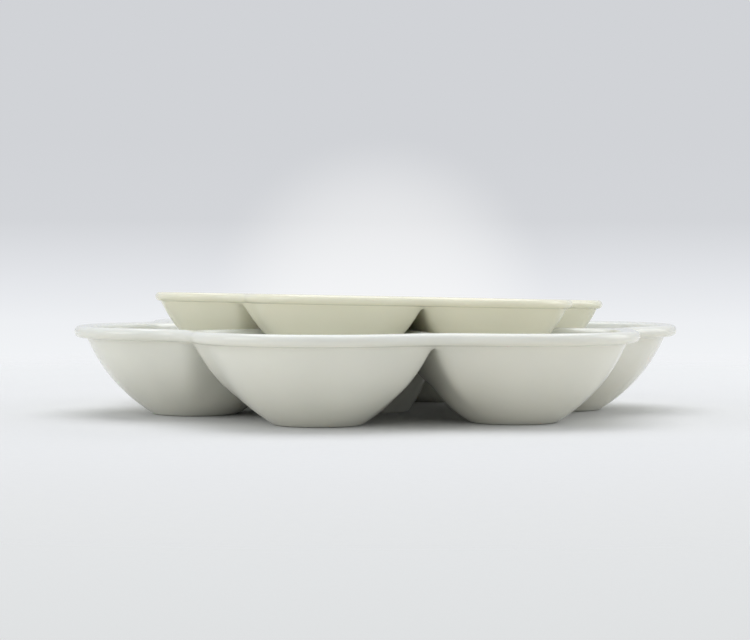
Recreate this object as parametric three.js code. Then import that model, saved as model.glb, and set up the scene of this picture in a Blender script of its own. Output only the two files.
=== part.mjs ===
// A nested pair of flower-shaped mixing palettes in glazed porcelain: a large dish that
// stands on the flat feet of its wells, and a smaller dish of the same design that rests
// in it. Each dish is one fired piece with six petal wells round a middle well.
// Millimetres, +Z up. The origin is on the table, under the middle of the large palette.
import * as THREE from "three";
import { mergeVertices } from "three/addons/utils/BufferGeometryUtils.js";

const degrees = THREE.MathUtils.degToRad;

// Driving sizes of each palette.
const LARGE = {
  petals: 6,
  wellRing: 55.5, // radius of the circle that the petal wells' axes stand on
  petalRadius: 35.5, // from a well's axis to the outside of the rim at the petal's tip
  height: 26,
  footRadius: 12.2,
  middleRadius: 16.5, // from the dish's axis to the crest round the middle well
  middleFoot: 8.5,
  lip: 3.7, // how far the rim stands out past the wall below it
  bead: 3.5, // thickness of the rolled rim
  notchBlend: 9, // half the width of the rounding in each notch of the rim
};
const SMALL = {
  petals: 6,
  wellRing: 41.2,
  petalRadius: 26.6,
  height: 19.7,
  footRadius: 9,
  middleRadius: 15,
  middleFoot: 6.5,
  lip: 1.7,
  bead: 2.6,
  notchBlend: 7,
};

// Sizes that both palettes share.
const WALL = 2.6; // thickness of the porcelain
const FLOOR = 3; // thickness of a well's floor over its foot
const COVE = 0.2; // from the underside of the bead down to the top of the wall
const LAND_DROP = 0.3; // how far the crests between wells lie below the top of the rim
const CREST_HALF = 2; // half the width of a crest between two wells, at its shoulders
const CREST_ROUND = 1.6; // height over which a crest rounds off
const EDGE_ROUND = 1.4; // width over which a well's wall rounds into the land round it
const WALL_SLOPE = degrees(30); // slope of a petal well's wall where it leaves the foot
const MIDDLE_SLOPE = degrees(56); // the same for the middle well
// Where a petal's round tip ends and its outline runs straight to the notch.
const RIM_SHOULDER = degrees(57.5);
const WALL_SHOULDER = degrees(52);
const SQUARE_BY = 0.55; // share of a wall's height that turns the round foot to a petal

// How the small palette sits in the large one.
const SEAT_LIFT = 0.72; // above touching, for a gap of about 0.3 between the sloping walls
const LEAN = degrees(1.4); // the small palette's tilt
const LEAN_TOWARDS = degrees(35); // heading of its low side
const TURN = degrees(0.5); // how far it is turned out of line with the large one

// Mesh steps.
const TIP_STEPS = 12;
const SIDE_STEPS = 6;
const MIDDLE_STEPS = 4;
const WALL_STEPS = [0, 0.12, 0.3, 0.55, 0.8, 1];
// Section of the bead, in shares of its thickness: inwards from its outside, then down.
const BEAD_SECTION = [
  [0.6, 0],
  [0.15, 0.17],
  [0, 0.5],
  [0.15, 0.83],
  [0.6, 1],
];

const lerp = THREE.MathUtils.lerp;

// Levels that follow from a dish's sizes.
const landTop = (dish) => dish.height - LAND_DROP;
const wallTop = (dish) => dish.height - dish.bead - COVE;
const innerTop = (dish) => landTop(dish) - CREST_ROUND;
const halfSector = (dish) => Math.PI / dish.petals;
// From a petal well's axis to the plane midway between it and its neighbour.
const sideDistance = (dish) => dish.wellRing * Math.sin(halfSector(dish));

// The radius of a wall whose section is one arc, as a function of height: it leaves the
// foot at a given slope and reaches a given radius at the wall's top. Inset moves it to
// the inner face of the wall.
function arcWall(foot, top, height, slope, inset) {
  const chordSlope = Math.atan2(height, top - foot);
  const radius = Math.hypot(top - foot, height) / (2 * Math.sin(chordSlope - slope));
  const centreR = foot - radius * Math.sin(slope);
  const centreZ = radius * Math.cos(slope);
  return (z) => centreR + Math.sqrt((radius - inset) ** 2 - (centreZ - z) ** 2);
}

// The plan outline of a petal well about its own axis, as a distance for each heading
// from the petal's tip: a round tip, straight shoulders, flat sides and a hollow end
// that goes round the middle well. Sharpness sets how tight its corners are.
function petalOutline(dish, tip, crestHalf, sharpness) {
  const side = sideDistance(dish) - crestHalf;
  const middle = dish.middleRadius + crestHalf;
  return (heading) => {
    const turn = Math.abs(heading);
    const reaches = [
      tip / Math.cos(Math.max(0, turn - WALL_SHOULDER)),
      side / Math.cos(turn - Math.PI / 2 - halfSector(dish)),
    ];
    const passes = dish.wellRing * Math.sin(turn); // nearest to the dish's axis
    if (passes < middle)
      reaches.push(-dish.wellRing * Math.cos(turn) - Math.sqrt(middle ** 2 - passes ** 2));
    return (
      reaches
        .filter((reach) => reach > 0)
        .reduce((sum, reach) => sum + reach ** -sharpness, 0) **
      (-1 / sharpness)
    );
  };
}

// One face of a well's wall: its radius for a heading and a height, round at the foot
// and turning to the outline on the way up.
function wallFace(radiusAt, low, high, outline) {
  const foot = radiusAt(low);
  const reach = radiusAt(high) - foot;
  return (heading, z) => {
    const squared = THREE.MathUtils.smoothstep(z, low, lerp(low, high, SQUARE_BY));
    const stretch = (outline(heading) - foot) / reach;
    return foot + (radiusAt(z) - foot) * lerp(1, stretch, squared);
  };
}

// A petal well's wall at its tip.
const petalWall = (dish, inset) =>
  arcWall(dish.footRadius, dish.petalRadius - dish.lip, wallTop(dish), WALL_SLOPE, inset);

// From a petal well's axis to the inner face of its wall, at the tip and the wall's top.
const innerTipRadius = (dish) => petalWall(dish, WALL)(innerTop(dish));

// The outer and inner faces of a petal well and of the middle well.
function faces(dish) {
  const tip = dish.petalRadius - dish.lip;
  const top = wallTop(dish);
  const middle = (inset) =>
    arcWall(dish.middleFoot, dish.middleRadius, top, MIDDLE_SLOPE, inset);
  return {
    petalOuter: wallFace(petalWall(dish, 0), 0, top, petalOutline(dish, tip, 0, 60)),
    petalInner: wallFace(
      petalWall(dish, WALL),
      FLOOR,
      innerTop(dish),
      petalOutline(dish, innerTipRadius(dish), CREST_HALF, 16),
    ),
    middleOuter: wallFace(middle(0), 0, top, () => dish.middleRadius),
    middleInner: wallFace(
      middle(WALL),
      FLOOR,
      innerTop(dish),
      () => dish.middleRadius - CREST_HALF,
    ),
  };
}

// The heading from a petal well's axis to the notch, where a petal outline with this tip
// radius and shoulder meets the plane midway to the next petal.
function notchHeading(dish, tip, shoulder) {
  const half = halfSector(dish);
  const side = sideDistance(dish);
  return Math.atan2(
    side * Math.cos(shoulder) + tip * Math.sin(half),
    tip * Math.cos(half) - side * Math.sin(shoulder),
  );
}

// A point of a petal's sharp outline, in the frame of a petal on the +X axis.
function outlinePoint(dish, tip, shoulder, share) {
  const heading = share * notchHeading(dish, tip, shoulder);
  const reach = tip / Math.cos(Math.max(0, Math.abs(heading) - shoulder));
  return new THREE.Vector2(
    dish.wellRing + reach * Math.cos(heading),
    reach * Math.sin(heading),
  );
}

// The outside of the rim of a petal on the +X axis, for a share from -1 at one notch to
// 1 at the other. Near a notch it is moved out along the notch's own heading, so that
// one petal runs into the next in a smooth curve.
function rimPoint(dish, share) {
  const point = outlinePoint(dish, dish.petalRadius, RIM_SHOULDER, share);
  const half = halfSector(dish);
  const along = new THREE.Vector2(Math.cos(half), Math.sign(share || 1) * Math.sin(half));
  const fromNotch = Math.abs(along.cross(point));
  const blend = dish.notchBlend;
  if (fromNotch < blend) {
    const rise = (fromNotch ** 2 / blend + blend) / 2 - fromNotch;
    point.addScaledVector(along, rise * Math.tan(RIM_SHOULDER - half));
  }
  return point;
}

// The heading square to the rim, outwards. In a notch it lies along the notch.
function rimNormal(dish, share) {
  const half = halfSector(dish);
  if (Math.abs(share) === 1)
    return new THREE.Vector2(Math.cos(half), share * Math.sin(half));
  const step = 1e-4;
  const ahead = rimPoint(dish, share + step).sub(rimPoint(dish, share - step));
  return new THREE.Vector2(ahead.y, -ahead.x).normalize();
}

// The crest line of a petal's territory past the two notches, in order: down the side
// from one notch, round the middle well, and up the other side.
function crestPoints(dish, notchDistance) {
  const half = halfSector(dish);
  const points = [];
  for (let i = 1; i <= SIDE_STEPS; i++) {
    const distance = lerp(notchDistance, dish.middleRadius, i / SIDE_STEPS);
    points.push(new THREE.Vector2(Math.cos(half), Math.sin(half)).multiplyScalar(distance));
  }
  for (let i = 1; i < MIDDLE_STEPS; i++) {
    const angle = lerp(half, -half, i / MIDDLE_STEPS);
    points.push(
      new THREE.Vector2(Math.cos(angle), Math.sin(angle)).multiplyScalar(dish.middleRadius),
    );
  }
  for (let i = SIDE_STEPS; i > 0; i--) {
    const mirrored = points[i - 1].clone();
    mirrored.y *= -1;
    points.push(mirrored);
  }
  return points;
}

const tipShares = Array.from({ length: TIP_STEPS + 1 }, (_, i) => (2 * i) / TIP_STEPS - 1);

// The bands of quads between rings of points. Rings that go round close on themselves.
function addBands(triangles, rings, closed) {
  for (let i = 0; i + 1 < rings.length; i++) {
    const count = Math.max(rings[i].length, rings[i + 1].length);
    const at = (ring, j) => ring[ring.length === 1 ? 0 : j % count];
    for (let j = 0; j < (closed ? count : count - 1); j++) {
      const corners = [
        at(rings[i], j),
        at(rings[i + 1], j),
        at(rings[i + 1], j + 1),
        at(rings[i], j + 1),
      ];
      if (corners[0] !== corners[3]) triangles.push([corners[0], corners[2], corners[3]]);
      if (corners[1] !== corners[2]) triangles.push([corners[0], corners[1], corners[2]]);
    }
  }
}

// A ring of a wall at one height: each point lies in the heading of a crest point.
function wallRing(axis, crest, face, z) {
  return crest.map((point) => {
    const heading = Math.atan2(point.y, point.x - axis);
    const reach = face(heading, z);
    return new THREE.Vector3(
      axis + reach * Math.cos(heading),
      reach * Math.sin(heading),
      z,
    );
  });
}

const atHeight = (points, z) => points.map((p) => new THREE.Vector3(p.x, p.y, z));

// The upper and under side of one well about an axis, from its floor to its crest and
// from its wall's top to its foot.
function addWell(triangles, dish, axis, topCrest, underCrest, inner, outer) {
  const innerLevel = (t) => lerp(FLOOR, innerTop(dish), t);
  const upper = WALL_STEPS.map((t) => wallRing(axis, topCrest, inner, innerLevel(t)));
  const lastWall = upper.at(-1);
  const shoulder = lastWall.map((p, i) =>
    new THREE.Vector3(
      lerp(p.x, topCrest[i].x, 0.4),
      lerp(p.y, topCrest[i].y, 0.4),
      lerp(p.z, landTop(dish), 0.75),
    ),
  );
  const crest = atHeight(topCrest, landTop(dish));
  addBands(
    triangles,
    [[new THREE.Vector3(axis, 0, FLOOR)], ...upper, shoulder, crest],
    true,
  );
  const wallLevels = WALL_STEPS.slice(0, -1).reverse();
  const under = wallLevels.map((t) =>
    wallRing(axis, underCrest, outer, t * wallTop(dish)),
  );
  addBands(
    triangles,
    [atHeight(underCrest, wallTop(dish)), ...under, [new THREE.Vector3(axis, 0, 0)]],
    true,
  );
}

// One petal on the +X axis: its well, and its length of the rim.
function petal(dish) {
  const triangles = [];
  const { petalInner, petalOuter } = faces(dish);
  const inside = (share, depth) =>
    rimPoint(dish, share).addScaledVector(rimNormal(dish, share), -depth);
  const landWidth = dish.petalRadius - innerTipRadius(dish) - EDGE_ROUND;
  const landLine = tipShares.map((share) => inside(share, landWidth));
  const wallLine = tipShares.map((share) =>
    outlinePoint(dish, dish.petalRadius - dish.lip, WALL_SHOULDER, share),
  );
  const past = (line) => crestPoints(dish, line.at(-1).length());
  addWell(
    triangles,
    dish,
    dish.wellRing,
    [...landLine, ...past(landLine)],
    [...wallLine, ...past(wallLine)],
    petalInner,
    petalOuter,
  );
  const bead = BEAD_SECTION.map(([inwards, down]) =>
    atHeight(
      tipShares.map((share) => inside(share, inwards * dish.bead)),
      dish.height - down * dish.bead,
    ),
  );
  addBands(
    triangles,
    [atHeight(landLine, landTop(dish)), ...bead, atHeight(wallLine, wallTop(dish))],
    false,
  );
  return triangles;
}

// The middle well, whose crest is shared with every petal.
function middleWell(dish) {
  const triangles = [];
  const { middleInner, middleOuter } = faces(dish);
  const count = dish.petals * MIDDLE_STEPS;
  const crest = Array.from({ length: count }, (_, i) => {
    const angle = halfSector(dish) + (i * 2 * Math.PI) / count;
    return new THREE.Vector2(Math.cos(angle), Math.sin(angle)).multiplyScalar(
      dish.middleRadius,
    );
  });
  addWell(triangles, dish, 0, crest, crest, middleInner, middleOuter);
  return triangles;
}

// A whole palette as one closed surface.
function paletteGeometry(dish) {
  const triangles = middleWell(dish);
  const petalTriangles = petal(dish);
  for (let i = 0; i < dish.petals; i++) {
    const turn = new THREE.Matrix4().makeRotationZ((i * 2 * Math.PI) / dish.petals);
    for (const corners of petalTriangles)
      triangles.push(corners.map((corner) => corner.clone().applyMatrix4(turn)));
  }
  const loose = new THREE.BufferGeometry().setFromPoints(triangles.flat());
  const geometry = mergeVertices(loose, 1e-3);
  geometry.computeVertexNormals();
  return geometry;
}

// The heights at which vertical rays through the given points first meet a mesh, coming
// from far above it or, for a negative start, from far below. A ray that misses has none.
function firstMet(mesh, points, start) {
  const ray = new THREE.Raycaster();
  const heading = new THREE.Vector3(0, 0, -Math.sign(start));
  return points.map(({ x, y }) => {
    ray.set(new THREE.Vector3(x, y, start), heading);
    return ray.intersectObject(mesh)[0]?.point.z;
  });
}

// The corners of a mesh as it is placed.
function placedCorners(mesh) {
  const positions = mesh.geometry.getAttribute("position");
  return Array.from({ length: positions.count }, (_, i) =>
    mesh.localToWorld(new THREE.Vector3().fromBufferAttribute(positions, i)),
  );
}

// How far a dish that is placed with its feet on the table has to rise to rest on its
// carrier: by as much as any place of the one would sink into the other, and the lift.
function seatHeight(carrier, dish) {
  const points = [...placedCorners(carrier), ...placedCorners(dish)];
  const far = 10 * (LARGE.height + SMALL.height);
  const tops = firstMet(carrier, points, far);
  const undersides = firstMet(dish, points, -far);
  const rises = tops.map((top, i) => top - undersides[i]).filter(Number.isFinite);
  return Math.max(...rises) + SEAT_LIFT;
}

const largePorcelain = new THREE.MeshStandardMaterial({
  color: 0xe9ebe8,
  roughness: 0.12,
  metalness: 0,
});
const smallPorcelain = new THREE.MeshStandardMaterial({
  color: 0xecead9,
  roughness: 0.12,
  metalness: 0,
});

const palettes = new THREE.Group();

const large = new THREE.Mesh(paletteGeometry(LARGE), largePorcelain);
large.name = "large_palette";
palettes.add(large);

const small = new THREE.Mesh(paletteGeometry(SMALL), smallPorcelain);
small.name = "small_palette";
small.rotation.z = TURN;
const seat = new THREE.Group();
// The low side's heading, turned a quarter, is the axis that the small palette leans about.
seat.setRotationFromAxisAngle(
  new THREE.Vector3(-Math.sin(LEAN_TOWARDS), Math.cos(LEAN_TOWARDS), 0),
  LEAN,
);
seat.add(small);
palettes.add(seat);
palettes.updateMatrixWorld(true);
seat.position.z = seatHeight(large, small);

export default palettes;
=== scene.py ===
import math

import bmesh
import bpy
from mathutils import Matrix, Vector


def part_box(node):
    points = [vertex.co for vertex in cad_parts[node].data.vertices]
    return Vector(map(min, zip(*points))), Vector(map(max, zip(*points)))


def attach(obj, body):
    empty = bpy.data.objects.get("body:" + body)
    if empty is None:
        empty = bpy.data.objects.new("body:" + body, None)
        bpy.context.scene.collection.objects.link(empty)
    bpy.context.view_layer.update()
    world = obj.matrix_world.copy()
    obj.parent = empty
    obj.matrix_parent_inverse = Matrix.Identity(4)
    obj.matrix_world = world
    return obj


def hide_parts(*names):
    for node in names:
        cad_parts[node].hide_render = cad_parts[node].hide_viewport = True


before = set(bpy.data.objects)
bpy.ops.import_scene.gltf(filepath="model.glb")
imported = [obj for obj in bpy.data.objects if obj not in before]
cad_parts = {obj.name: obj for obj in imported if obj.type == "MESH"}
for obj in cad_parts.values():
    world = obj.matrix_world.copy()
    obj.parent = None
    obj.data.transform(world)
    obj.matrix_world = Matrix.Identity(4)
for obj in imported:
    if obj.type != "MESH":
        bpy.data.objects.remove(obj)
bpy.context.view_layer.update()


# ---- Camera ----------------------------------------------------------------------------
# A long lens just above the rims, so the two dishes are seen almost edge on. It stands to
# the left of straight ahead, where two petals face it with a notch between them.

CAMERA_AZIMUTH = math.radians(-12)
CAMERA_DISTANCE = 0.668  # level distance from the middle of the dishes
CAMERA_HEIGHT = 0.047
LOOK_LEFT = math.radians(0.146)
LOOK_DOWN = math.radians(1.69)
ROLL = math.radians(0.14)

camera_data = bpy.data.cameras.new("camera")
camera_data.lens = 107.26
camera_data.sensor_width = 36
camera_data.clip_start = 0.01
camera = bpy.data.objects.new("camera", camera_data)
bpy.context.scene.collection.objects.link(camera)
stand = Vector((math.sin(CAMERA_AZIMUTH), -math.cos(CAMERA_AZIMUTH), 0)) * CAMERA_DISTANCE
camera.matrix_world = (
    Matrix.Translation(stand + Vector((0, 0, CAMERA_HEIGHT)))
    @ Matrix.Rotation(CAMERA_AZIMUTH + LOOK_LEFT, 4, "Z")
    @ Matrix.Rotation(math.pi / 2 - LOOK_DOWN, 4, "X")
    @ Matrix.Rotation(ROLL, 4, "Z")
)
bpy.context.scene.camera = camera


# ---- Large palette ---------------------------------------------------------------------
# One slip-cast porcelain dish with six petal wells round a middle well. Its rim is rolled
# into a bead, the crests between the wells are softly rounded by hand sponging, and each
# well stands on a flat foot, wiped clean of glaze before the firing.

MM = 0.001
LARGE = {
    "well_ring": 55.5,  # radius of the circle that the petal wells' axes stand on
    "petal_radius": 35.5,  # from a well's axis to the outside of the rim at its tip
    "height": 26.0,
    "foot_radius": 12.2,
    "middle_radius": 16.5,
    "middle_foot": 8.5,
    "lip": 3.7,
    "bead": 3.5,
    "notch_blend": 9.0,
}
PETALS = 6
WALL = 2.6
FLOOR = 3.0
COVE = 0.2
LAND_DROP = 0.3
CREST_HALF = 2.0
CREST_ROUND = 1.6
EDGE_ROUND = 1.4
WALL_SLOPE = math.radians(30)
MIDDLE_SLOPE = math.radians(56)
RIM_SHOULDER = math.radians(57.5)  # where a petal's round tip ends in a straight
WALL_SHOULDER = math.radians(52)
SQUARE_BY = 0.55
HALF = math.pi / PETALS

# Steps of the mesh before it is smoothed.
TIP_STEPS = 32
SIDE_STEPS = 10
MIDDLE_STEPS = 8
FLOOR_SHARES = [0.35, 0.65, 0.88]  # rings across a well's floor, of its radius
WALL_SHARES = [0, 0.04, 0.1, 0.18, 0.27, 0.37, 0.48, 0.59, 0.7, 0.8, 0.9, 1]
ROUND_TURNS = [math.radians(turn) for turn in (25, 50, 72)]  # round an edge
BEAD_TURNS = [math.radians(turn) for turn in range(90, -91, -20)]  # top to underside
LAND_STEPS = [(1.9, LAND_DROP), (1.4, 0.1)]  # inwards in bead radii, and down from the rim's top
UNDERSIDE_STEPS = [(0.6, 0), (0.9, 0.1)]  # share of the way to the wall, and further down
PETAL_SHARPNESS = 60  # how tight the corners of a well's plan are, outside and inside
WELL_SHARPNESS = 16


def lerp(a, b, t):
    return a + (b - a) * t


def smoothstep(x, low, high):
    t = min(max((x - low) / (high - low), 0), 1)
    return t * t * (3 - 2 * t)


def wall_top(dish):
    return dish["height"] - dish["bead"] - COVE


def land_top(dish):
    return dish["height"] - LAND_DROP


def inner_top(dish):
    return land_top(dish) - CREST_ROUND


def arc_wall(foot, top, height, slope, inset):
    """The radius at each height of a wall whose section is one arc, or of its inner face."""
    chord_slope = math.atan2(height, top - foot)
    radius = math.hypot(top - foot, height) / (2 * math.sin(chord_slope - slope))
    centre_r = foot - radius * math.sin(slope)
    centre_z = radius * math.cos(slope)
    return lambda z: centre_r + math.sqrt((radius - inset) ** 2 - (centre_z - z) ** 2)


def petal_wall(dish, inset):
    tip = dish["petal_radius"] - dish["lip"]
    return arc_wall(dish["foot_radius"], tip, wall_top(dish), WALL_SLOPE, inset)


def middle_wall(dish, inset):
    radius = dish["middle_radius"]
    return arc_wall(dish["middle_foot"], radius, wall_top(dish), MIDDLE_SLOPE, inset)


def petal_outline(dish, tip, crest_half, sharpness):
    """A petal well's plan: its reach for each heading from the tip, about its own axis."""
    side = dish["well_ring"] * math.sin(HALF) - crest_half
    middle = dish["middle_radius"] + crest_half

    def reach_at(heading):
        turn = abs(heading)
        reaches = [
            tip / math.cos(max(0, turn - WALL_SHOULDER)),
            side / math.cos(turn - math.pi / 2 - HALF),
        ]
        passes = dish["well_ring"] * math.sin(turn)
        if passes < middle:
            along = math.sqrt(middle**2 - passes**2)
            reaches.append(-dish["well_ring"] * math.cos(turn) - along)
        total = sum(reach**-sharpness for reach in reaches if reach > 0)
        return total ** (-1 / sharpness)

    return reach_at


def wall_face(radius_at, low, high, outline):
    """One face of a wall, round at the foot and turning to the outline on the way up."""
    foot = radius_at(low)
    reach = radius_at(high) - foot

    def face(heading, z):
        squared = smoothstep(z, low, lerp(low, high, SQUARE_BY))
        stretch = (outline(heading) - foot) / reach
        return foot + (radius_at(z) - foot) * lerp(1, stretch, squared)

    return face


def outline_point(dish, tip, shoulder, share):
    """A point of a petal's plan, from -1 at one notch to 1 at the other, on the +X petal."""
    side = dish["well_ring"] * math.sin(HALF)
    notch = math.atan2(
        side * math.cos(shoulder) + tip * math.sin(HALF),
        tip * math.cos(HALF) - side * math.sin(shoulder),
    )
    heading = share * notch
    reach = tip / math.cos(max(0, abs(heading) - shoulder))
    return Vector((dish["well_ring"] + reach * math.cos(heading), reach * math.sin(heading)))


def rim_point(dish, share):
    """The outside of the rim, rounded where one petal runs into the next."""
    point = outline_point(dish, dish["petal_radius"], RIM_SHOULDER, share)
    along = Vector((math.cos(HALF), math.copysign(math.sin(HALF), share)))
    from_notch = abs(along.cross(point))
    blend = dish["notch_blend"]
    if from_notch < blend:
        rise = (from_notch**2 / blend + blend) / 2 - from_notch
        point += along * rise * math.tan(RIM_SHOULDER - HALF)
    return point


TINY_SHARE = 1e-4  # a step along the rim that is short enough to give its direction


def rim_normal(dish, share):
    if abs(share) == 1:
        return Vector((math.cos(HALF), share * math.sin(HALF)))
    ahead = rim_point(dish, share + TINY_SHARE) - rim_point(dish, share - TINY_SHARE)
    return Vector((ahead.y, -ahead.x)).normalized()


def crest_points(dish, notch_distance):
    """The crest line past the notches: down one side, round the middle, up the other."""
    radius = dish["middle_radius"]
    side = [
        Vector((math.cos(HALF), math.sin(HALF))) * lerp(notch_distance, radius, i / SIDE_STEPS)
        for i in range(1, SIDE_STEPS + 1)
    ]
    turns = [lerp(HALF, -HALF, i / MIDDLE_STEPS) for i in range(1, MIDDLE_STEPS)]
    round_middle = [Vector((math.cos(turn), math.sin(turn))) * radius for turn in turns]
    mirrored = [Vector((p.x, -p.y)) for p in reversed(side)]
    return side + round_middle + mirrored


def at_height(points, z):
    return [Vector((p.x, p.y, z)) for p in points]


def wall_ring(axis, crest, face, z):
    """A ring of a wall at one height, with each point in the heading of a crest point."""
    ring = []
    for point in crest:
        heading = math.atan2(point.y, point.x - axis)
        reach = face(heading, z)
        ring.append(
            Vector((axis + reach * math.cos(heading), reach * math.sin(heading), z))
        )
    return ring


def mix_rings(ring, other, share, z):
    """A ring between two rings, at a height of its own."""
    return [Vector((*lerp(p.xy, q.xy, share), z)) for p, q in zip(ring, other)]


def upper_rings(dish, axis, crest, face):
    """The glazed inside of a well, from the middle of its floor up to the crest line."""
    top = land_top(dish)
    wall = [
        wall_ring(axis, crest, face, lerp(FLOOR, inner_top(dish), share))
        for share in WALL_SHARES
    ]
    middle = [Vector((axis, 0, FLOOR))] * len(crest)
    floor = [mix_rings(middle, wall[0], share, FLOOR) for share in FLOOR_SHARES]
    ridge = at_height(crest, top)
    rounding = [
        mix_rings(wall[-1], ridge, 1 - math.cos(turn), top - CREST_ROUND * (1 - math.sin(turn)))
        for turn in ROUND_TURNS
    ]
    return [middle[:1], *floor, *wall, *rounding, ridge]


FOOT_EDGE = 0.5  # height of the small rounding at the edge of a foot
FOOT_EDGE_MIDDLE = (0.45, 0.12)  # a ring half way round it: share of its width, height
FOOT_SHARES = [0.97, 0.88, 0.6, 0.3]  # rings across the foot, of its radius


def under_rings(dish, axis, crest, face):
    """The outside of a well, from the top of its wall down to the middle of its foot."""
    top = wall_top(dish)
    wall = [
        wall_ring(axis, crest, face, lerp(FOOT_EDGE, top, share))
        for share in reversed(WALL_SHARES[:-1])
    ]
    middle = [Vector((axis, 0, 0))] * len(crest)
    lowest = wall_ring(axis, crest, face, 0)
    edge = mix_rings(wall[-1], lowest, *FOOT_EDGE_MIDDLE)
    foot = [mix_rings(middle, lowest, share, 0) for share in FOOT_SHARES]
    return [at_height(crest, top), *wall, edge, *foot, middle[:1]]


def add_bands(bm, corner, rings, closed):
    """Fills the bands between rings of points with quads, or with triangles at a point."""
    for upper, lower in zip(rings, rings[1:]):
        count = max(len(upper), len(lower))
        for i in range(count if closed else count - 1):
            j = (i + 1) % count
            loop = [upper[i % len(upper)], lower[i % len(lower)]]
            loop += [lower[j % len(lower)], upper[j % len(upper)]]
            corners = list(dict.fromkeys(corner(point) for point in loop))
            bm.faces.new(corners)


def sector_mesh(name, dish):
    """A sixth of a palette: one petal with its rim, and its share of the middle well."""
    bm = bmesh.new()
    found = {}

    def corner(point):
        key = tuple(round(v, 4) for v in point)
        if key not in found:
            found[key] = bm.verts.new(point * MM)
        return found[key]

    shares = [2 * i / TIP_STEPS - 1 for i in range(TIP_STEPS + 1)]

    def inside(inwards):
        return [
            rim_point(dish, share) - rim_normal(dish, share) * inwards for share in shares
        ]

    inner_tip = petal_wall(dish, WALL)(inner_top(dish))
    tip = dish["petal_radius"] - dish["lip"]
    land_line = inside(dish["petal_radius"] - inner_tip - EDGE_ROUND)
    wall_line = [outline_point(dish, tip, WALL_SHOULDER, share) for share in shares]
    top_crest = land_line + crest_points(dish, land_line[-1].length)
    under_crest = wall_line + crest_points(dish, wall_line[-1].length)
    inner = wall_face(
        petal_wall(dish, WALL),
        FLOOR,
        inner_top(dish),
        petal_outline(dish, inner_tip, CREST_HALF, WELL_SHARPNESS),
    )
    outer = wall_face(
        petal_wall(dish, 0),
        0,
        wall_top(dish),
        petal_outline(dish, tip, 0, PETAL_SHARPNESS),
    )
    axis = dish["well_ring"]
    add_bands(bm, corner, upper_rings(dish, axis, top_crest, inner), True)
    add_bands(bm, corner, under_rings(dish, axis, under_crest, outer), True)

    nose = dish["bead"] / 2
    land = [
        at_height(inside(nose * inwards), dish["height"] - down) for inwards, down in LAND_STEPS
    ]
    bead = [
        at_height(
            inside(nose * (1 - math.cos(turn))),
            dish["height"] - nose * (1 - math.sin(turn)),
        )
        for turn in BEAD_TURNS
    ]
    foot_of_bead = dish["height"] - dish["bead"]
    wall_ridge = at_height(wall_line, wall_top(dish))
    underside = [
        mix_rings(bead[-1], wall_ridge, share, foot_of_bead - down)
        for share, down in UNDERSIDE_STEPS
    ]
    rim = [at_height(land_line, land_top(dish)), *land, *bead, *underside, wall_ridge]
    add_bands(bm, corner, rim, False)

    turns = [lerp(-HALF, HALF, i / MIDDLE_STEPS) for i in range(MIDDLE_STEPS + 1)]
    circle = [Vector((math.cos(t), math.sin(t))) * dish["middle_radius"] for t in turns]
    inner = wall_face(
        middle_wall(dish, WALL),
        FLOOR,
        inner_top(dish),
        lambda heading: dish["middle_radius"] - CREST_HALF,
    )
    outer = wall_face(
        middle_wall(dish, 0), 0, wall_top(dish), lambda heading: dish["middle_radius"]
    )
    add_bands(bm, corner, upper_rings(dish, 0, circle, inner), False)
    add_bands(bm, corner, under_rings(dish, 0, circle, outer), False)

    bmesh.ops.recalc_face_normals(bm, faces=bm.faces)
    mesh = bpy.data.meshes.new(name)
    bm.to_mesh(mesh)
    bm.free()
    return mesh


def add(tree, kind, links=None, **settings):
    """Adds a node, sets its properties and inputs, and links sockets to its inputs."""
    node = tree.nodes.new(kind)
    for name, value in settings.items():
        if hasattr(node, name):
            setattr(node, name, value)
        else:
            node.inputs[name.replace("_", " ")].default_value = value
    for name, socket in (links or {}).items():
        tree.links.new(socket, node.inputs[name])
    return node


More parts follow.
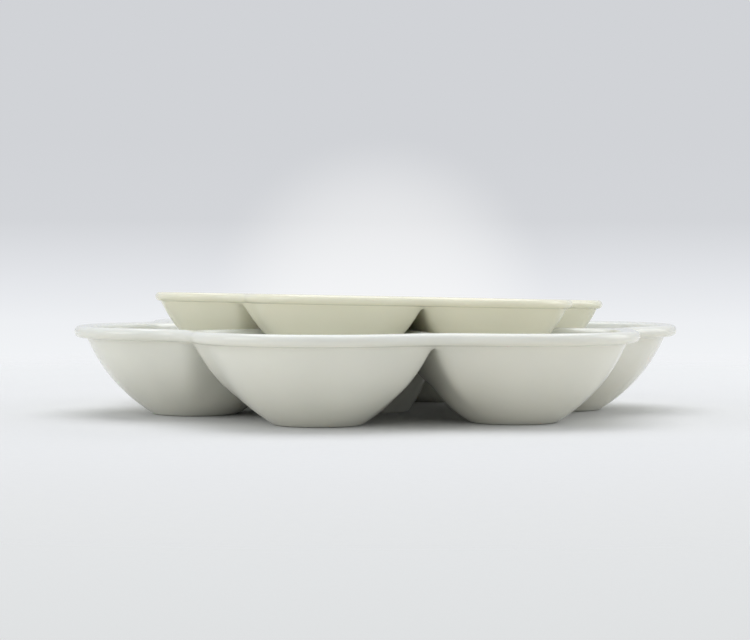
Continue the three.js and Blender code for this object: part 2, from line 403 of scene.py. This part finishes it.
def palette_tree():
    """Geometry nodes that set a sector round the axis, weld it, smooth it and seat it."""
    tree = bpy.data.node_groups.new("palette_from_sector", "GeometryNodeTree")
    face = tree.interface
    face.new_socket("Sector", in_out="INPUT", socket_type="NodeSocketGeometry")
    for name, kind in (
        ("Petals", "NodeSocketInt"),
        ("Weld distance", "NodeSocketFloat"),
        ("Smoothing", "NodeSocketInt"),
        ("Turn", "NodeSocketFloat"),
        ("Lean", "NodeSocketVector"),
        ("Seat", "NodeSocketVector"),
        ("Foot height", "NodeSocketFloat"),
        ("Glaze", "NodeSocketMaterial"),
        ("Bare foot", "NodeSocketMaterial"),
    ):
        face.new_socket(name, in_out="INPUT", socket_type=kind)
    face.new_socket("Palette", in_out="OUTPUT", socket_type="NodeSocketGeometry")
    given = add(tree, "NodeGroupInput").outputs
    points = add(tree, "GeometryNodePoints", {"Count": given["Petals"]})
    index = add(tree, "GeometryNodeInputIndex")
    share = add(tree, "ShaderNodeMath", operation="DIVIDE")
    tree.links.new(index.outputs[0], share.inputs[0])
    tree.links.new(given["Petals"], share.inputs[1])
    heading = add(tree, "ShaderNodeMath", operation="MULTIPLY")
    tree.links.new(share.outputs[0], heading.inputs[0])
    heading.inputs[1].default_value = 2 * math.pi
    spin = add(tree, "ShaderNodeCombineXYZ", {"Z": heading.outputs[0]})
    copies = add(
        tree,
        "GeometryNodeInstanceOnPoints",
        {
            "Points": points.outputs[0],
            "Instance": given["Sector"],
            "Rotation": spin.outputs[0],
        },
    )
    real = add(tree, "GeometryNodeRealizeInstances", {"Geometry": copies.outputs[0]})
    welded = add(
        tree,
        "GeometryNodeMergeByDistance",
        {"Geometry": real.outputs[0], "Distance": given["Weld distance"]},
    )
    fine = add(
        tree,
        "GeometryNodeSubdivisionSurface",
        {"Mesh": welded.outputs[0], "Level": given["Smoothing"]},
    )
    glazed = add(
        tree,
        "GeometryNodeSetMaterial",
        {"Geometry": fine.outputs[0], "Material": given["Glaze"]},
    )
    place = add(tree, "GeometryNodeInputPosition")
    height = add(tree, "ShaderNodeSeparateXYZ", {"Vector": place.outputs[0]})
    low = add(tree, "FunctionNodeCompare", data_type="FLOAT", operation="LESS_THAN")
    tree.links.new(height.outputs["Z"], low.inputs[0])
    tree.links.new(given["Foot height"], low.inputs[1])
    footed = add(
        tree,
        "GeometryNodeSetMaterial",
        {
            "Geometry": glazed.outputs[0],
            "Selection": low.outputs[0],
            "Material": given["Bare foot"],
        },
    )
    turn = add(tree, "ShaderNodeCombineXYZ", {"Z": given["Turn"]})
    turned = add(
        tree,
        "GeometryNodeTransform",
        {"Geometry": footed.outputs[0], "Rotation": turn.outputs[0]},
    )
    seated = add(
        tree,
        "GeometryNodeTransform",
        {
            "Geometry": turned.outputs[0],
            "Rotation": given["Lean"],
            "Translation": given["Seat"],
        },
    )
    smooth = add(tree, "GeometryNodeSetShadeSmooth", {"Geometry": seated.outputs[0]})
    out = add(tree, "NodeGroupOutput")
    tree.links.new(smooth.outputs[0], out.inputs[0])
    return tree


def make_palette(name, dish, tree, **inputs):
    """A palette as one plain mesh, made from its sector by the tree."""
    source = bpy.data.objects.new(name + "_sector", sector_mesh(name + "_sector", dish))
    bpy.context.scene.collection.objects.link(source)
    modifier = source.modifiers.new("palette", "NODES")
    modifier.node_group = tree
    sockets = {
        item.name: item.identifier
        for item in tree.interface.items_tree
        if item.in_out == "INPUT"
    }
    for label, value in inputs.items():
        modifier[sockets[label.replace("_", " ")]] = value
    bpy.context.view_layer.update()
    evaluated = source.evaluated_get(bpy.context.evaluated_depsgraph_get())
    mesh = bpy.data.meshes.new_from_object(evaluated)
    source.modifiers.clear()
    bpy.data.objects.remove(source)
    mesh.name = name
    palette = bpy.data.objects.new(name, mesh)
    bpy.context.scene.collection.objects.link(palette)
    return palette


def linear(hex_code):
    """A linear colour from an sRGB hex code."""
    channels = [int(hex_code[i : i + 2], 16) / 255 for i in (1, 3, 5)]
    return (
        *(c / 12.92 if c <= 0.04045 else ((c + 0.055) / 1.055) ** 2.4 for c in channels),
        1,
    )


# Hard-paste porcelain, slip cast and fired under a clear feldspar glaze that was poured
# over it. The glaze gives a sharp gloss over a soft white body, runs a little thicker and
# greyer where it pools, and carries a few iron specks from the clay.
def glazed_porcelain(name, body, pooled, bloom):
    material = bpy.data.materials.new(name)
    material.use_nodes = True
    tree = material.node_tree
    tree.nodes.clear()
    where = add(tree, "ShaderNodeTexCoord").outputs["Object"]

    # Glaze that ran and pooled: patches about 30 mm across.
    pools = add(
        tree, "ShaderNodeTexNoise", {"Vector": where}, Scale=33, Detail=3, Roughness=0.5
    )
    pooling = add(tree, "ShaderNodeMapRange", {"Value": pools.outputs["Fac"]})
    pooling.inputs["From Min"].default_value = 0.35
    pooling.inputs["From Max"].default_value = 0.68
    tone = add(tree, "ShaderNodeMix", {"Factor": pooling.outputs[0]}, data_type="RGBA")
    tone.inputs["A"].default_value = linear(body)
    tone.inputs["B"].default_value = linear(pooled)

    # A faint warmer bloom where the kiln air reached it: patches about 90 mm across.
    air = add(tree, "ShaderNodeTexNoise", {"Vector": where}, Scale=11, Detail=2)
    reach = add(tree, "ShaderNodeMapRange", {"Value": air.outputs["Fac"]})
    reach.inputs["From Min"].default_value = 0.45
    reach.inputs["From Max"].default_value = 0.75
    reach.inputs["To Max"].default_value = 0.5
    warm = add(tree, "ShaderNodeMix", {"Factor": reach.outputs[0]}, data_type="RGBA")
    tree.links.new(tone.outputs["Result"], warm.inputs["A"])
    warm.inputs["B"].default_value = linear(bloom)

    # Iron specks 0.3 mm across, in about one cell in forty of a 5 mm lattice.
    cells = add(tree, "ShaderNodeTexVoronoi", {"Vector": where}, Scale=200)
    speck = add(tree, "ShaderNodeMath", operation="LESS_THAN")
    tree.links.new(cells.outputs["Distance"], speck.inputs[0])
    speck.inputs[1].default_value = 0.05
    chance = add(tree, "ShaderNodeSeparateColor", {"Color": cells.outputs["Color"]})
    rare = add(tree, "ShaderNodeMath", operation="LESS_THAN")
    tree.links.new(chance.outputs[0], rare.inputs[0])
    rare.inputs[1].default_value = 0.025
    shown = add(tree, "ShaderNodeMath", operation="MULTIPLY")
    tree.links.new(speck.outputs[0], shown.inputs[0])
    tree.links.new(rare.outputs[0], shown.inputs[1])
    speckled = add(tree, "ShaderNodeMix", {"Factor": shown.outputs[0]}, data_type="RGBA")
    tree.links.new(warm.outputs["Result"], speckled.inputs["A"])
    speckled.inputs["B"].default_value = linear("#8f887b")

    # Orange peel of the poured glaze, about 9 mm between its waves, and fine pits.
    peel = add(tree, "ShaderNodeTexNoise", {"Vector": where}, Scale=110, Detail=1)
    waves = add(tree, "ShaderNodeBump", {"Height": peel.outputs["Fac"]}, Strength=0.1)
    waves.inputs["Distance"].default_value = 0.0002
    pits = add(tree, "ShaderNodeTexNoise", {"Vector": where}, Scale=900, Detail=2)
    pitted = add(
        tree,
        "ShaderNodeBump",
        {"Height": pits.outputs["Fac"], "Normal": waves.outputs[0]},
        Strength=0.05,
    )
    pitted.inputs["Distance"].default_value = 0.00001

    # Handling and washing leave the gloss a little uneven.
    wear = add(tree, "ShaderNodeTexNoise", {"Vector": where}, Scale=60, Detail=4)
    gloss = add(tree, "ShaderNodeMapRange", {"Value": wear.outputs["Fac"]})
    gloss.inputs["To Min"].default_value = 0.1
    gloss.inputs["To Max"].default_value = 0.18

    shader = add(
        tree,
        "ShaderNodeBsdfPrincipled",
        {
            "Base Color": speckled.outputs["Result"],
            "Roughness": gloss.outputs[0],
            "Normal": pitted.outputs[0],
        },
        IOR=1.5,
    )
    shader.inputs["Coat Weight"].default_value = 0.15
    shader.inputs["Coat Roughness"].default_value = 0.04
    shader.inputs["Subsurface Weight"].default_value = 0.12
    shader.inputs["Subsurface Radius"].default_value = (0.0016, 0.0014, 0.0011)
    shader.inputs["Subsurface Scale"].default_value = 1.0
    add(tree, "ShaderNodeOutputMaterial", {"Surface": shader.outputs[0]})
    return material


# Porcelain body where the glaze was wiped off the foot: matt, warmer and slightly gritty.
def bare_porcelain(name, body, worn):
    material = bpy.data.materials.new(name)
    material.use_nodes = True
    tree = material.node_tree
    tree.nodes.clear()
    where = add(tree, "ShaderNodeTexCoord").outputs["Object"]
    rubbed = add(tree, "ShaderNodeTexNoise", {"Vector": where}, Scale=180, Detail=5)
    tone = add(tree, "ShaderNodeMix", {"Factor": rubbed.outputs["Fac"]}, data_type="RGBA")
    tone.inputs["A"].default_value = linear(body)
    tone.inputs["B"].default_value = linear(worn)
    grit = add(tree, "ShaderNodeTexNoise", {"Vector": where}, Scale=2500, Detail=2)
    rough = add(tree, "ShaderNodeBump", {"Height": grit.outputs["Fac"]}, Strength=0.4)
    rough.inputs["Distance"].default_value = 0.0001
    shader = add(
        tree,
        "ShaderNodeBsdfPrincipled",
        {"Base Color": tone.outputs["Result"], "Normal": rough.outputs[0]},
        Roughness=0.85,
    )
    add(tree, "ShaderNodeOutputMaterial", {"Surface": shader.outputs[0]})
    return material


WELD_DISTANCE = 0.01 * MM
FOOT_HEIGHT = 0.05 * MM  # what lies lower than this is foot, which has no glaze
tree = palette_tree()
foot_clay = bare_porcelain("bare_porcelain_foot", "#dcd7ca", "#c8c1b1")
white_glaze = glazed_porcelain("white_glazed_porcelain", "#e9ebe6", "#e4e6e1", "#ebeae1")
large = make_palette(
    "large_dish_glazed",
    LARGE,
    tree,
    Petals=PETALS,
    Weld_distance=WELD_DISTANCE,
    Smoothing=1,
    Turn=0.0,
    Lean=(0.0, 0.0, 0.0),
    Seat=(0.0, 0.0, 0.0),
    Foot_height=FOOT_HEIGHT,
    Glaze=white_glaze,
    Bare_foot=foot_clay,
)
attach(large, "large_dish")
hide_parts("large_palette")


# ---- Small palette ---------------------------------------------------------------------
# The same dish in a smaller size and a creamier porcelain. It was set down in the large
# one a little askew, so it leans and is turned slightly out of line, with the hollows
# between its wells astride the large dish's crests.

SMALL = {
    "well_ring": 41.2,
    "petal_radius": 26.6,
    "height": 19.7,
    "foot_radius": 9.0,
    "middle_radius": 15.0,
    "middle_foot": 6.5,
    "lip": 1.7,
    "bead": 2.6,
    "notch_blend": 7.0,
}
LEAN = math.radians(1.4)
LEAN_TOWARDS = math.radians(35)  # heading of its low side
TURN = math.radians(0.5)

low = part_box("small_palette")[0]
lean = Matrix.Rotation(
    LEAN, 4, Vector((-math.sin(LEAN_TOWARDS), math.cos(LEAN_TOWARDS), 0))
)
ivory_glaze = glazed_porcelain("ivory_glazed_porcelain", "#f2f0dc", "#eeecd8", "#f3efd8")
# The foot that the lean lowers most is the first one round from the petal on the +X side.
foot_heading = 2 * HALF + TURN - LEAN_TOWARDS
foot_reach = SMALL["well_ring"] * math.cos(foot_heading) + SMALL["foot_radius"]
seat_height = low.z + foot_reach * math.sin(LEAN) * MM
small = make_palette(
    "small_dish_glazed",
    SMALL,
    tree,
    Petals=PETALS,
    Weld_distance=WELD_DISTANCE,
    Smoothing=1,
    Turn=TURN,
    Lean=tuple(lean.to_euler()),
    Seat=(0.0, 0.0, seat_height),
    Foot_height=FOOT_HEIGHT,
    Glaze=ivory_glaze,
    Bare_foot=foot_clay,
)
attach(small, "small_dish")
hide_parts("small_palette")


# ---- Table and surroundings ------------------------------------------------------------
# A plain pale sheet of paper. Away from the dishes it fades into the backdrop, a white
# room out of focus, so no edge of it shows.

TABLE_SIZE = 16.0
SHEET_RADIUS = (0.13, 0.42)  # where the sheet starts to fade, and where it is gone

table_mesh = bpy.data.meshes.new("table")
bm = bmesh.new()
bmesh.ops.create_grid(bm, x_segments=8, y_segments=8, size=TABLE_SIZE / 2)
bm.to_mesh(table_mesh)
bm.free()
table = bpy.data.objects.new("table", table_mesh)
bpy.context.scene.collection.objects.link(table)


def seen_directly(tree):
    """One for a camera or mirror ray, which sees the backdrop, and zero for any other."""
    path = add(tree, "ShaderNodeLightPath").outputs
    either = add(tree, "ShaderNodeMath", operation="MAXIMUM")
    tree.links.new(path["Is Camera Ray"], either.inputs[0])
    tree.links.new(path["Is Glossy Ray"], either.inputs[1])
    return either.outputs[0]


paper = bpy.data.materials.new("matt_white_paper")
paper.use_nodes = True
tree = paper.node_tree
tree.nodes.clear()
direct = seen_directly(tree)
where = add(tree, "ShaderNodeTexCoord").outputs["Object"]
fibres = add(tree, "ShaderNodeTexNoise", {"Vector": where}, Scale=400, Detail=3)
shade = add(tree, "ShaderNodeMix", {"Factor": fibres.outputs["Fac"]}, data_type="RGBA")
shade.inputs["A"].default_value = linear("#dcddde")
shade.inputs["B"].default_value = linear("#e0e1e2")
bounce = add(tree, "ShaderNodeMix", {"Factor": direct}, data_type="RGBA")
bounce.inputs["A"].default_value = linear("#e9e6dc")
tree.links.new(shade.outputs["Result"], bounce.inputs["B"])
away = add(tree, "ShaderNodeVectorMath", {"Vector": where}, operation="LENGTH")
sheet = add(tree, "ShaderNodeBsdfDiffuse", {"Color": bounce.outputs["Result"]})
fade = add(tree, "ShaderNodeMapRange", {"Value": away.outputs["Value"]})
fade.interpolation_type = "SMOOTHSTEP"
fade.inputs["From Min"].default_value = SHEET_RADIUS[0]
fade.inputs["From Max"].default_value = SHEET_RADIUS[1]
gone = add(tree, "ShaderNodeMath", operation="MULTIPLY")
tree.links.new(fade.outputs["Result"], gone.inputs[0])
tree.links.new(direct, gone.inputs[1])
clear = add(tree, "ShaderNodeBsdfTransparent")
surface = add(tree, "ShaderNodeMixShader", {"Fac": gone.outputs[0]})
tree.links.new(sheet.outputs[0], surface.inputs[1])
tree.links.new(clear.outputs[0], surface.inputs[2])
add(tree, "ShaderNodeOutputMaterial", {"Surface": surface.outputs[0]})
table_mesh.materials.append(paper)

# The backdrop's colour goes by the rise of the line of sight, level being 0.
LOWEST_RISE = -0.2
HIGHEST_RISE = 0.05
GLOW_RISE = -0.025
GLOW_REACH = math.radians(4.6)

world = bpy.data.worlds.new("white_room")
bpy.context.scene.world = world
world.use_nodes = True
tree = world.node_tree
tree.nodes.clear()
heading = add(tree, "ShaderNodeTexCoord").outputs["Generated"]
rise = add(tree, "ShaderNodeSeparateXYZ", {"Vector": heading})
level = add(tree, "ShaderNodeMapRange", {"Value": rise.outputs["Z"]})
level.inputs["From Min"].default_value = LOWEST_RISE
level.inputs["From Max"].default_value = HIGHEST_RISE
backdrop = add(tree, "ShaderNodeValToRGB", {"Fac": level.outputs["Result"]})
backdrop.color_ramp.elements[0].color = linear("#dddfe0")
backdrop.color_ramp.elements[1].color = linear("#d1d3d7")
for rise_at, tone in (
    (-0.14, "#e2e4e5"),  # the near side of the sheet
    (-0.095, "#e6e7e7"),
    (-0.056, "#f4f6f8"),  # the brightest band, just past the dishes
    (-0.03, "#eef0f3"),
    (-0.012, "#e4e6ea"),
    (0.015, "#d3d5d9"),
):
    share = (rise_at - LOWEST_RISE) / (HIGHEST_RISE - LOWEST_RISE)
    backdrop.color_ramp.elements.new(share).color = linear(tone)

# A soft glow on the backdrop straight behind the dishes, a few degrees to its edge.
ahead = add(tree, "ShaderNodeVectorMath", {"Vector": heading}, operation="DOT_PRODUCT")
ahead.inputs[1].default_value = Vector(
    (-math.sin(CAMERA_AZIMUTH), math.cos(CAMERA_AZIMUTH), GLOW_RISE)
).normalized()
glow = add(tree, "ShaderNodeMapRange", {"Value": ahead.outputs["Value"]})
glow.interpolation_type = "SMOOTHSTEP"
glow.inputs["From Min"].default_value = math.cos(GLOW_REACH)
glow.inputs["To Max"].default_value = 0.5
glowing = add(tree, "ShaderNodeMix", {"Factor": glow.outputs["Result"]}, data_type="RGBA")
tree.links.new(backdrop.outputs["Color"], glowing.inputs["A"])
glowing.inputs["B"].default_value = linear("#ffffff")
lit = add(tree, "ShaderNodeBackground", Strength=0.64)
lit.inputs["Color"].default_value = linear("#f6f8fb")
shown = add(tree, "ShaderNodeBackground", {"Color": glowing.outputs["Result"]}, Strength=1.0)
pick = add(tree, "ShaderNodeMixShader", {"Fac": seen_directly(tree)})
tree.links.new(lit.outputs[0], pick.inputs[1])
tree.links.new(shown.outputs[0], pick.inputs[2])
add(tree, "ShaderNodeOutputWorld", {"Surface": pick.outputs[0]})


# ---- Lamps -----------------------------------------------------------------------------
# One wide soft box overhead, a little behind the dishes, and a weaker one on each side.
# All three face the middle of the dishes.

LAMP_AIM = Vector((0, 0, 0.02))

for name, place, size, power in (
    ("overhead_softbox", (0.05, 0.15, 1.0), 1.1, 6.6),
    ("left_softbox", (-1.3, -0.1, 0.5), 0.8, 3.0),
    ("right_softbox", (1.3, 0.1, 0.5), 0.8, 3.0),
):
    lamp_data = bpy.data.lights.new(name, "AREA")
    lamp_data.shape = "SQUARE"
    lamp_data.size = size
    lamp_data.energy = power
    lamp = bpy.data.objects.new(name, lamp_data)
    bpy.context.scene.collection.objects.link(lamp)
    turned = (LAMP_AIM - Vector(place)).to_track_quat("-Z", "Y")
    lamp.matrix_world = Matrix.Translation(place) @ turned.to_matrix().to_4x4()

bpy.context.scene.view_settings.view_transform = "Standard"
